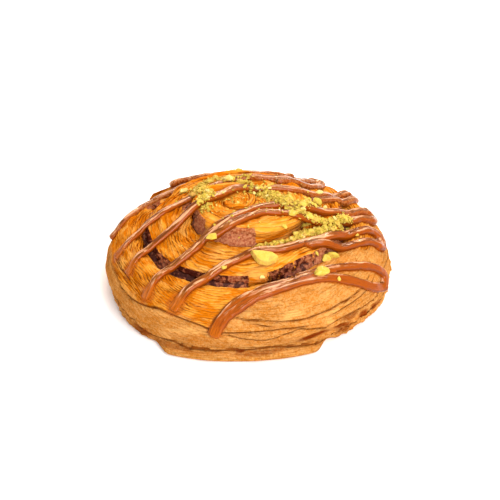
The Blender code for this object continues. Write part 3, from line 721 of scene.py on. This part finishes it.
CORE_RADIUS, CORE_HEIGHT = 3.4, 37.0
CORE_EDGE = ((2.4, 36.8), (2.9, 36.4), (3.2, 36), (CORE_RADIUS, 35.2))
knot = bmesh.new()
top = [(0.2 * i, CORE_HEIGHT) for i in range(10)]
side = [(CORE_RADIUS, 20), (CORE_RADIUS, 0), (0, 0)]
rim = [knot.verts.new((r * MM, 0, z * MM)) for r, z in (*top, *CORE_EDGE, *side)]
for upper, lower in zip(rim, rim[1:]):
    knot.edges.new((upper, lower))
bmesh.ops.spin(
    knot, geom=knot.verts[:] + knot.edges[:], cent=(0, 0, 0), axis=(0, 0, 1), angle=math.tau, steps=72,
    use_merge=True, use_normal_flip=False, use_duplicate=False,
)
bmesh.ops.remove_doubles(knot, verts=knot.verts, dist=1e-7)
bmesh.ops.recalc_face_normals(knot, faces=knot.faces)
marks = {mark: knot.verts.layers.float.new(mark) for mark in ("layer", "spacing", "toast", "along", "across")}
eye_x, eye_y, _ = place(0.0, 0.0, 0.0)
for corner in knot.verts:
    reach, turn = math.hypot(corner.co.x, corner.co.y) / MM, math.atan2(corner.co.y, corner.co.x)
    spiral = reach / 1.3 - turn / math.tau
    step = spiral - math.floor(spiral)
    if corner.co.z > 30 * MM:
        ridge = 0.5 * (ramp(step, 0, 0.25) * (1 - 0.8 * step)) - 0.3
        corner.co.z += (ridge + 0.12 * reach * math.sin(turn + 1)) * MM
    corner[marks["layer"]], corner[marks["spacing"]] = spiral, 5
    corner[marks["toast"]] = 0.7 - 0.1 * reach
    corner[marks["along"]], corner[marks["across"]] = turn * 3, reach
    corner.co += Vector((eye_x, eye_y, 0)) * MM
eye = finished("swirl_eye", knot)
baked.on(eye)
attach(eye, "root")
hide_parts("dough")

# --- The outer turn -----------------------------------------------------------------------------
# The last turn carries the skin down the roll's side to its base. The strip's tail is tucked against
# it, and at the front its lower edge sticks out as a lip.

outer_turn = crust("outer_turn_crust", TAIL_JOIN, WIND_END, 0.72, (
    (0, FOOT, 1), (FOOT, 2, 7), (2, 3, 9), (3, 4, 14), (4, 5, 18), (5, SHOULDER, 20), *OVER_THE_TOP,
))
baked.on(outer_turn)
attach(outer_turn, "root")
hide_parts("dough")
crust_trees = [tree_of(piece) for piece in (swirl, eye, outer_turn)]

# --- The filling --------------------------------------------------------------------------------
# A paste of cinnamon, brown sugar and butter, spread over the dough before it was rolled. It boiled
# up in the slots between the turns and set dark and grainy.

FILLING_BOTTOM = 0.4
PASTE_START, PASTE_END = 200.0, 1220.0
wound, along = stations_along(PASTE_START, PASTE_END, 0.9 * COARSE)
half = half_slot(wound) - CLEARANCE
crest, ledge = edge_heights(wound)[1] - CREST_SWELL, edge_heights(wound + 360)[0]
shows = np.clip(smooth_through(FILLING_SHOWS, wound), 0, 1)
high = crest - 0.8 - 5 * (1 - shows)
low = np.minimum(ledge + 0.1, crest - 2.5) - 3 * (1 - shows)
corners = [
    (seam(wound) - half, FILLING_BOTTOM + 0 * wound), (seam(wound) + half, FILLING_BOTTOM + 0 * wound),
    (seam(wound) + half, low), (seam(wound), (high + low) / 2), (seam(wound) - half, high),
    (seam(wound) - half, FILLING_BOTTOM + 0 * wound),
]
columns = np.concatenate([[0, 1, 1.7, 1.9], np.linspace(2, 4, 13), [4.1, 4.3, 5]])
distances, heights = (
    np.array([np.interp(columns, range(6), at) for at in np.transpose([corner[axis] for corner in corners])])
    for axis in (0, 1)
)
points = place(wound[:, None] + 0 * distances, distances, heights)
run, over = along[:, None] + 0 * distances, 4.0 * columns[None, :] + 0 * distances
grains = 0.22 * lumps(run / 0.9, over / 1.6, 41) + 0.3 * lumps(run / 3, over / 4, 42)
grains = grains + 0.12 * lumps(run / 0.5, over, 43)
on_show = within(columns, 1.6, 1.95, 4.05, 4.35)
points = points + facing_out(points) * (grains * on_show[None, :])[..., None]
points[:, -1] = points[:, 0]
boiled = smooth_through(BOILED, wound)[:, None] + 0 * distances
paste = closed_strip("cinnamon_paste", points, {"boiled": boiled})

cinnamon = Finish("cinnamon_paste", Roughness=0.45, Specular_IOR_Level=0.2)
specks = cinnamon.grain(1.1, 4.0, 0.7)
cinnamon.set(Base_Color=cinnamon_colour(cinnamon), Normal=cinnamon.bump(specks, 0.0006, 1.0))
cinnamon.on(paste)
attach(paste, "root")
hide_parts("cinnamon_filling")

# --- The caramel --------------------------------------------------------------------------------
# Warm caramel was trailed back and forth over the cooled roll in long loops. It clung to the crests,
# sagged between them and set glossy; the ends of the thin strands ran out flat into the crust.

POLE, CROWN_PLANE = Vector((0, 0, -60.0)), 38.0
DRIZZLE = (
    (5.0, ((-19, -75), (-14, -67), (-7, -60), (4, -53), (17, -46.5), (30, -41), (46, -38), (62, -35),
           (73, -28))),
    (3.4, ((73, -31), (69, -23), (58, -25), (46, -30), (33, -36), (20, -43))),
    (3.5, ((-37, -58), (-29, -51), (-21, -45), (-13, -39), (-5, -34), (4, -29), (14, -27), (23, -22),
           (32, -16), (41, -9), (50, -3), (58, 2), (64, 2), (65, -4), (59, -7))),
    (2.9, ((63, -6), (55, -9), (48, -14), (41, -18), (33, -20), (24, -23))),
    (3.4, ((-51, -48), (-42, -41), (-33, -34), (-24, -28), (-16, -21), (-9, -16), (-2, -10), (4, -5),
           (12, -3), (22, -2), (32, 2), (43, 9), (51, 16), (58, 21))),
    (2.9, ((55, 22), (61, 18), (58, 12), (50, 8), (40, 0), (30, -7), (20, -10), (12, -9), (5, -10),
           (-1, -14), (-8, -19), (-16, -23))),
    (3.4, ((-58, -30), (-48, -22), (-40, -17), (-31, -12), (-22, -6), (-14, 1), (-7, 7), (1, 10), (9, 11),
           (18, 12), (28, 17), (37, 25), (43, 32), (49, 38))),
    (3.0, ((46, 39), (52, 35), (49, 28), (44, 22), (35, 16), (26, 11))),
    (3.4, ((-65, -15), (-54, -9), (-45, -3), (-36, 1), (-27, 7), (-19, 13), (-11, 19), (-2, 22), (8, 22),
           (17, 26), (24, 35), (31, 46))),
    (3.0, ((28, 47), (35, 45), (33, 37), (28, 29), (20, 23), (11, 20))),
    (3.1, ((-71, 9), (-63, 13), (-54, 21), (-44, 28), (-34, 33), (-25, 38), (-15, 41), (-5, 42), (6, 43),
           (15, 48), (22, 55))),
    (3.6, ((-39, 49), (-30, 55), (-20, 56), (-11, 54), (-2, 51), (6, 49))),
)
DRIZZLE_HEIGHT, DRIZZLE_LIFT, FALL = 2.6, 0.35, 0.3
FRONT_LOOP, ACROSS_THE_TOP = 0, range(2, 10)  # strands, by their number
THIN_SIDE, THICK_SIDE = 0.8, 1.2  # those across the top, at the far left and in their loops at the right
RUN_OUT = {FRONT_LOOP: 0.4, 2: 0.75, 4: 0.75, 6: 0.75, 8: 0.75}  # whose first end ran out, and how flat
FEET = ((0, 0), (0.36, 0), (-0.36, 0), (0, 0.36), (0, -0.36))


def landing(spot, trees):
    """(reach, outward direction, normal) where the line from the pole through a spot leaves the roll."""
    outward = (Vector((spot[0], spot[1], CROWN_PLANE)) - POLE).normalized()
    far = 2 * RADIUS - POLE.z
    hits = [tree.ray_cast((POLE + outward * far) * MM, -outward)[:2] for tree in trees]
    found = [((point / MM - POLE).length, normal) for point, normal in hits if point]
    reach, normal = max(found, key=lambda hit: hit[0], default=(0.0, outward))
    return reach, outward, normal


def resting(spot, spread, trees):
    """(reach, outward direction, normal) of something this wide laid on a spot: it spans narrow gaps."""
    under = [landing((spot[0] + dx * spread, spot[1] + dy * spread), trees) for dx, dy in FEET]
    normal = sum((foot[2] for foot in under), under[0][1]).normalized()
    return max(foot[0] for foot in under), under[0][1], normal


def route_through(spots, spacing):
    """Evenly spaced points of the smooth line through the spots."""
    points = [Vector((x, y, 0)) for x, y in spots]
    ends = [2 * points[0] - points[1], *points, 2 * points[-1] - points[-2]]
    fine = []
    for before, start, end, after in zip(ends, ends[1:], ends[2:], ends[3:]):
        leaving, arriving = start + (end - before) / 6, end - (after - start) / 6
        fine += interpolate_bezier(start, leaving, arriving, end, 16)[:-1]
    fine.append(points[-1])
    travelled = np.cumsum([0] + [(b - a).length for a, b in zip(fine, fine[1:])])
    at = np.linspace(0, travelled[-1], max(2, round(travelled[-1] / spacing) + 1))
    return list(zip(*(np.interp(at, travelled, [point[axis] for point in fine]) for axis in (0, 1))))


STRAND_SIDES, STRAND_STEP = 16, 0.7
# The front loop was poured as three streams side by side, the rest as two: how far aside each lies.
STREAMS, TWO_STREAMS = {FRONT_LOOP: (-0.3, 0.02, 0.31)}, (-0.19, 0.19)


def draped(number, width, spots):
    """The middle line of a strand laid over the crust, with its directions, width and height shares."""
    places = [resting(spot, 0.8 * width, crust_trees) for spot in route_through(spots, STRAND_STEP)]
    reach = np.array([p[0] for p in places])
    steps = np.arange(len(places)) * STRAND_STEP
    drape = np.max(reach[None, :] - FALL * np.abs(steps[:, None] - steps[None, :]), axis=1)
    near = np.exp(-(((steps[:, None] - steps[None, :]) / 3.2) ** 2))
    drape = (near @ drape) / near.sum(axis=1)
    strand = 0 * steps + number
    swelling = 1 + 0.14 * lumps(steps / 9, strand, 51) + 0.09 * lumps(steps / 3, strand, 52)
    from_end = np.minimum(steps, steps[-1] - steps)
    swelling *= 1 + 0.14 * np.exp(-(((from_end - 2.5) / 3.0) ** 2))
    swelling *= np.sqrt(np.clip(1 - (1 - np.clip(from_end / (0.5 * width), 0, 1)) ** 2, 0.02, 1))
    if number == FRONT_LOOP:
        swelling *= (1 - 0.3 * ramp(steps, 35, 70)) * (0.6 + 0.4 * ramp(steps, -2, 14))
    if number in ACROSS_THE_TOP:
        to_the_right = np.array([spot[0] for spot in route_through(spots, STRAND_STEP)])
        swelling *= np.interp(to_the_right, (-50, -25, 30, 52), (THIN_SIDE, 1, 1, THICK_SIDE))
    flat = 1 - RUN_OUT.get(number, 0) * (1 - ramp(steps, 3, 14))
    swelling *= 1 + 0.25 * (1 - flat)
    lift = DRIZZLE_LIFT * flat - 0.6 * (1 - flat) + 0 * steps
    middles = [POLE + p[1] * float(d + rise) for p, d, rise in zip(places, drape, lift)]
    line = []
    for i, middle in enumerate(middles):
        forward = (middles[min(i + 2, len(middles) - 1)] - middles[max(i - 2, 0)]).normalized()
        around = places[max(i - 4, 0):i + 5]
        up = sum((p[2] for p in around), places[i][1] * 2).normalized()
        side = forward.cross(up).normalized()
        line.append((middle, side, side.cross(forward), float(swelling[i]), float((flat + 0 * steps)[i])))
    return line


def stream(line, width, height, aside):
    """Rings of points round one stream of a strand, this share of its width to the side."""
    rings = []
    for middle, side, up, swelling, flat in line:
        ring = []
        for turn in np.linspace(0, math.tau, STRAND_SIDES + 1):
            across, rise = math.cos(turn) * width / 2, math.sin(turn) * height / 2
            ring.append(middle + side * (across + aside) * swelling + up * rise * swelling * flat)
        rings.append(ring)
    return np.array(rings)


poured, strand_lines = bmesh.new(), []
for number, (width, spots) in enumerate(DRIZZLE):
    line = draped(number, width, spots)
    strand_lines.append((width, line))
    streams = STREAMS.get(number, TWO_STREAMS)
    for aside in streams:
        share = 1 - 0.8 * (max(streams) - min(streams))
        length = closed_strip("stream", stream(line, width * share, DRIZZLE_HEIGHT, aside * width), {})
        poured.from_mesh(length.data)
        bpy.data.objects.remove(length)
caramel = finished("caramel_drizzle", poured)
remesh = caramel.modifiers.new("run_together", "REMESH")
remesh.mode, remesh.voxel_size = "VOXEL", 0.42 * MM * COARSE
joined = bpy.data.meshes.new_from_object(caramel.evaluated_get(bpy.context.evaluated_depsgraph_get()))
caramel.modifiers.clear()
poured = bmesh.new()
poured.from_mesh(joined)
for _ in range(2):
    bmesh.ops.smooth_vert(
        poured, verts=poured.verts, factor=0.5, use_axis_x=True, use_axis_y=True, use_axis_z=True
    )
bmesh.ops.recalc_face_normals(poured, faces=poured.faces)

nearest, stations = KDTree(sum(len(line) for _, line in strand_lines)), []
for width, line in strand_lines:
    for station in line:
        nearest.insert(station[0] * MM, len(stations))
        stations.append((width, len(stations) * STRAND_STEP, *station))
nearest.balance()
SHADED_SIDE = Vector((0.6, -0.75, -0.25)).normalized()  # the side of each strand that gets painted shade in deep orange
poured.normal_update()
rise_mark, side_shade_mark, thin_mark, along_mark, across_mark, dusty_mark = (
    poured.verts.layers.float.new(mark) for mark in ("rise", "sag", "thin", "along", "across", "dusty")
)
for corner in poured.verts:
    width, travelled, middle, side, up, swelling, flat = stations[nearest.find(corner.co)[1]]
    from_middle = corner.co / MM - middle
    corner[rise_mark] = from_middle.dot(up) / (DRIZZLE_HEIGHT / 2)
    # Painted shade: how far each point faces its strand's shaded side.
    corner[side_shade_mark] = corner.normal.dot(SHADED_SIDE)
    corner[thin_mark] = 1 - flat
    corner[along_mark] = travelled + from_middle.dot(up.cross(side))
    corner[across_mark] = from_middle.dot(side)
    corner[dusty_mark] = ramp(corner.co.y / MM, -5, 30)  # nut dust settled on the strands at the back
poured.to_mesh(caramel.data)
poured.free()
caramel.data.shade_smooth()

# The deep caramel colour is painted shade on the strands' lower right sides, the edge colour painted shadow
# at their lowest edges and the pale colour a painted highlight on their tops.
CARAMEL, CARAMEL_SHADED, CARAMEL_SHADOW = (0.23, 0.062, 0.005), (0.28, 0.052, 0.001), (0.10, 0.018, 0.001)
CARAMEL_TAN, CARAMEL_HIGHLIGHT, CARAMEL_THIN = (0.25, 0.086, 0.018), (0.74, 0.38, 0.20), (0.36, 0.08, 0.001)
CARAMEL_DUSTY = (0.40, 0.155, 0.04)
glossy = Finish(
    "caramel", Roughness=0.3, Specular_IOR_Level=0.0, Coat_Weight=0.65, Coat_IOR=1.32, Coat_Roughness=0.1,
)
lines = glossy.streaks(0.09, 0.75, 2.0)
threads = glossy.streaks(0.2, 1.7)
clouds = glossy.grain(0.16, 3.0)
rise, sag, thin = glossy.mark("rise"), glossy.mark("sag"), glossy.mark("thin")
# Painted shade: each strand's side towards the lower right is coloured deep orange, its top left lighter.
lit_tops = (sag + (threads - 0.5) * 0.6).between(0.4, 0.0)
colour = glossy.mix((clouds.between(0.4, 0.62) * 0.8).clamped(), CARAMEL, CARAMEL_TAN)
colour = glossy.mix((1 - lit_tops).clamped(), colour, CARAMEL_SHADED)
# Painted highlight: pale lines along the strands' lit tops.
highlight_lines = (lines + (threads - 0.5) * 0.5).between(0.50, 0.57) * lit_tops
colour = glossy.mix(highlight_lines * 0.8, colour, CARAMEL_HIGHLIGHT)
# Painted shadow: dark lines beside the highlight lines, darkest along each strand's lowest edge.
shaded_groove = (0.47 - lines).between(0.0, 0.05) * lit_tops * 0.7
colour = glossy.mix((shaded_groove + (sag - 0.75).between(0.0, 0.25) * 0.6).clamped(), colour, CARAMEL_SHADOW)
dust = glossy.grain(1.0, 4.0)
colour = glossy.mix((glossy.mark("dusty") * dust.between(0.42, 0.6) * 0.75).clamped(), colour, CARAMEL_DUSTY)
colour = glossy.mix(thin.between(0.05, 0.5) * 0.9, colour, CARAMEL_THIN)
relief = lines + threads * 0.3 + dust * glossy.mark("dusty") * 0.6
glossy.set(Base_Color=colour, Normal=glossy.bump(relief, 0.0015, 1.0))
glossy.on(caramel)
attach(caramel, "root")
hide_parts("dough")

# Syrup that soaked into the crust beside the strands, most of it round the ends that ran out; the same mark
# is painted shade along every strand's edge.
for piece in (swirl, eye, outer_turn):
    soaked = []
    for corner in piece.data.vertices:
        _, index, away = nearest.find(corner.co)
        width, *_, swelling, flat = stations[index]
        soaked.append(1 - float(ramp(away / MM - width * swelling / 2, 0.0, 1.2 + 3.5 * (1 - flat))))
    piece.data.attributes.new("syrup", "FLOAT", "POINT").data.foreach_set("value", soaked)

# --- The pistachio ------------------------------------------------------------------------------
# Shelled pistachio, chopped by hand and thrown over the warm caramel: chunks that stand out, chips
# between them and a drift of fine crumb.

NUTS = (
    (6.5, -34, 10.8), (31, -39, 7.0), (37, -24.5, 5.4), (34, -26, 5.0), (-14, -24, 5.4), (-27, 17, 4.8),
    (-22, 9, 4.0), (-16, -2, 3.6), (-15, 6, 3.8), (-14, 27, 3.0), (-10, 20, 2.8), (-8, 19, 4.8),
    (-3, 19, 4.4), (-7, 41, 4.2), (-4, 42, 4.4), (12, 4, 3.8), (16, 4, 3.8), (30, 18, 3.8), (29, 10, 4.6),
    (33, 8, 2.8), (17, -11, 4.4), (21, -3, 4.0), (24, -10, 4.0), (-10, -39, 2.6), (6, -43, 2.4),
    (40, -40, 2.2), (48, -7, 2.6), (29, -26, 2.6), (20, -15, 3.6), (14, -17, 3.4),
)
# A piece over this length is half a nut, with this outline as shares of its length.
HALF_NUT_OVER = 8.0
HALF_NUT = (
    (-0.50, 0.24), (-0.10, 0.30), (0.28, 0.25), (0.52, 0.07), (0.38, -0.16), (0.12, -0.30), (-0.18, -0.29),
    (-0.34, -0.08),
)
LYING_ALONG = 3.2  # a chip over this length lies nearly along X
FINE_NUT = (1.6, 3.0)
# Drifts of chips and crumb: the line each lies along, its width, how many of each, and how high it piles.
NUT_DRIFTS = (
    (((-22, 15), (-16, 3), (-17, -5)), 3.4, 16, 760, 1.2),
    (((-22, 17), (-14, 24), (-8, 19), (1, 20)), 2.6, 8, 380, 0.6),
    (((-9, 41), (-3, 41)), 2.2, 6, 160, 0.8),
    (((2, 9), (9, 5), (15, -4), (22, -7), (28, -9), (34, -7), (44, 3)), 3.6, 34, 1600, 1.6),
    (((12, 4), (22, 0), (28, 9)), 3.4, 12, 380, 0.6),
    (((29, -12), (22, -15)), 3.2, 10, 420, 1.6),
    (((22, -17), (14, -21), (4, -25)), 1.7, 9, 440, 0.8),
    (((0, 0), (1, 0)), 26.0, 0, 170, 0),
)
SEED = 12

draw = random.Random(SEED)
under_nuts = [*crust_trees, tree_of(caramel)]
chips, crumb_spots = [(x, y, length, 0.0) for x, y, length in NUTS], []
for line, width, chip_count, crumb_count, pile in NUT_DRIFTS:
    middles = route_through(line, 0.5)
    for number in range(chip_count + round(crumb_count / COARSE)):
        x, y = middles[draw.randrange(len(middles))]
        dx, dy = draw.gauss(0, 0.45), draw.gauss(0, 0.45)
        spot = x + dx * width, y + dy * width
        size = draw.uniform(*FINE_NUT) if number < chip_count else min(2.1, 0.6 + draw.expovariate(1.8))
        lift = draw.random() * pile * max(0, 1 - math.hypot(dx, dy))
        if landing(spot, under_nuts)[0]:
            (chips if number < chip_count else crumb_spots).append((*spot, size, lift))


def chopped(length, corners, rounding, draw):
    """One chopped piece: the hull of a few corners, with its edges worn."""
    piece = bmesh.new()
    if length > HALF_NUT_OVER:
        for x, y in HALF_NUT:
            piece.verts.new((x * 0.9, y * 0.85, draw.uniform(0.08, 0.13)))
            piece.verts.new((x, y, draw.uniform(-0.12, -0.06)))
    else:
        for _ in range(corners):
            way = Vector((draw.gauss(0, 1), draw.gauss(0, 1), draw.gauss(0, 1))).normalized()
            piece.verts.new((way.x * 0.5, way.y * 0.37, way.z * 0.26))
    hull = bmesh.ops.convex_hull(piece, input=piece.verts)
    inside = [v for v in hull["geom_interior"] if isinstance(v, bmesh.types.BMVert)]
    bmesh.ops.delete(piece, geom=inside, context="VERTS")
    bmesh.ops.scale(piece, vec=Vector((length, length, length)), verts=piece.verts)
    if rounding:
        bmesh.ops.bevel(
            piece, geom=piece.verts[:] + piece.edges[:], offset=rounding * length, segments=2, profile=0.5,
            affect="EDGES", material=-1, clamp_overlap=True,
        )
    return piece


def scattered(name, spots, corners, rounding, tipped, draw):
    """One piece made of many chopped bits, each laid on whatever is under its (x, y, length, lift)."""
    heap = bmesh.new()
    tint = heap.verts.layers.float.new("tint")
    for x, y, length, lift in spots:
        bit = chopped(length, corners, rounding, draw)
        layer = bit.verts.layers.float.new("tint")
        reach, outward, normal = resting((x, y), length * 0.5, under_nuts)
        if length > HALF_NUT_OVER:
            spin = 0
        elif length > LYING_ALONG:
            spin = draw.gauss(0, 0.3)
        else:
            spin = draw.uniform(0, math.tau)
        up = (normal + outward).normalized()
        level = Vector((1, 0, 0)) - up * up.x
        lying = Matrix((level.normalized(), up.cross(level).normalized(), up)).transposed()
        turn = lying @ Euler((0, 0, spin)).to_matrix()
        turn = turn @ Euler((draw.gauss(0, tipped), draw.gauss(0, tipped), 0)).to_matrix()
        middle = POLE + outward * (reach + lift + length * 0.1)
        shade = draw.random() * (0.6 if length > HALF_NUT_OVER else 1)
        shade = 0.15 + 0.6 * shade if rounding == 0 else shade
        for corner in bit.verts:
            corner.co = (middle + turn @ corner.co) * MM
            corner[layer] = shade + draw.gauss(0, 0.12)
        scrap = bpy.data.meshes.new("scrap")
        bit.to_mesh(scrap)
        bit.free()
        heap.from_mesh(scrap)
        bpy.data.meshes.remove(scrap)
    bmesh.ops.recalc_face_normals(heap, faces=heap.faces)
    made = finished(name, heap)
    made.data.set_sharp_from_angle(angle=math.radians(40))
    return made


chunks = scattered("pistachio_chunks", chips, 17, 0.05, 0.15, draw)
crumbs = scattered("pistachio_crumbs", crumb_spots, 8, 0, 0.5, draw)

NUT_YELLOW, NUT_GREEN = (0.63, 0.42, 0.07), (0.46, 0.35, 0.03)
NUT_PALE, NUT_TAN = (0.74, 0.56, 0.20), (0.56, 0.31, 0.06)
pistachio = Finish("pistachio", Roughness=0.6, Specular_IOR_Level=0.1)
tint = pistachio.mark("tint")
flesh = pistachio.grain(0.6, 5.0)
colour = pistachio.mix((flesh.between(0.42, 0.6) * 0.6 + (tint - 0.3) * 0.6).clamped(), NUT_YELLOW, NUT_GREEN)
colour = pistachio.mix(((tint - 0.7) * 4).clamped(), colour, NUT_PALE)
colour = pistachio.mix(((0.12 - tint) * 12).clamped(), colour, NUT_TAN)
pistachio.set(Base_Color=colour, Normal=pistachio.bump(flesh, 0.0012, 1.0))
for piece in (chunks, crumbs):
    pistachio.on(piece)
    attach(piece, "root")
    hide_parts("dough")

# --- The table, the light and the camera ---------------------------------------------------------
# The roll stands on a white surface under wide soft lights, seen from its front and a little above.

floor_shape = bmesh.new()
bmesh.ops.create_grid(floor_shape, x_segments=1, y_segments=1, size=3.0)
floor = finished("white_table", floor_shape)
white = Finish("white_table", Base_Color=(0.98, 0.98, 0.98, 1), Roughness=0.9)
white.on(floor)

world = bpy.data.worlds.new("white_room")
world.use_nodes = True
world.node_tree.nodes["Background"].inputs["Color"].default_value = (1, 1, 1, 1)
world.node_tree.nodes["Background"].inputs["Strength"].default_value = 0.75
bpy.context.scene.world = world


def soft_light(name, watts, width, height, where, target, colour=(1, 1, 1)):
    light = bpy.data.lights.new(name, "AREA")
    light.color = colour
    light.shape, light.size, light.size_y, light.energy = "RECTANGLE", width, height, watts
    holder = bpy.data.objects.new(name, light)
    holder.location = where
    holder.rotation_euler = (Vector(where) - Vector(target)).to_track_quat("Z", "Y").to_euler()
    bpy.context.scene.collection.objects.link(holder)


soft_light("overhead_softbox", 3.2, 0.5, 0.4, (0.3, 0.05, 0.75), (0, 0, 0.02))
soft_light("front_softbox", 7.4, 0.5, 0.4, (0.24, -0.63, 0.42), (0, 0, 0.02))
soft_light("back_strip", 2.6, 0.5, 0.02, (-0.1, 0.67, 0.38), (0, 0, 0.02), (1, 0.74, 0.56))
soft_light("back_strip_high", 2.4, 0.5, 0.02, (0.1, 0.50, 0.52), (0, 0, 0.02), (1, 0.74, 0.56))

CAMERA_RISE, CAMERA_DISTANCE = math.radians(33.0), 0.7
MM_A_PIXEL, FRAME_PIXELS, SENSOR = 0.4005, 500, 36.0
ORIGIN_PIXEL = (248.3, 282.1)
camera = bpy.data.cameras.new("camera")
holder = bpy.data.objects.new("camera", camera)
back = Vector((0, -math.cos(CAMERA_RISE), math.sin(CAMERA_RISE)))
holder.location = back * CAMERA_DISTANCE
holder.rotation_euler = back.to_track_quat("Z", "Y").to_euler()
camera.sensor_width = SENSOR
camera.lens = SENSOR * CAMERA_DISTANCE / (FRAME_PIXELS * MM_A_PIXEL * MM)
camera.shift_x = (FRAME_PIXELS / 2 - ORIGIN_PIXEL[0]) / FRAME_PIXELS
camera.shift_y = (ORIGIN_PIXEL[1] - FRAME_PIXELS / 2) / FRAME_PIXELS
bpy.context.scene.collection.objects.link(holder)
bpy.context.scene.camera = holder
bpy.context.scene.view_settings.view_transform = "Standard"
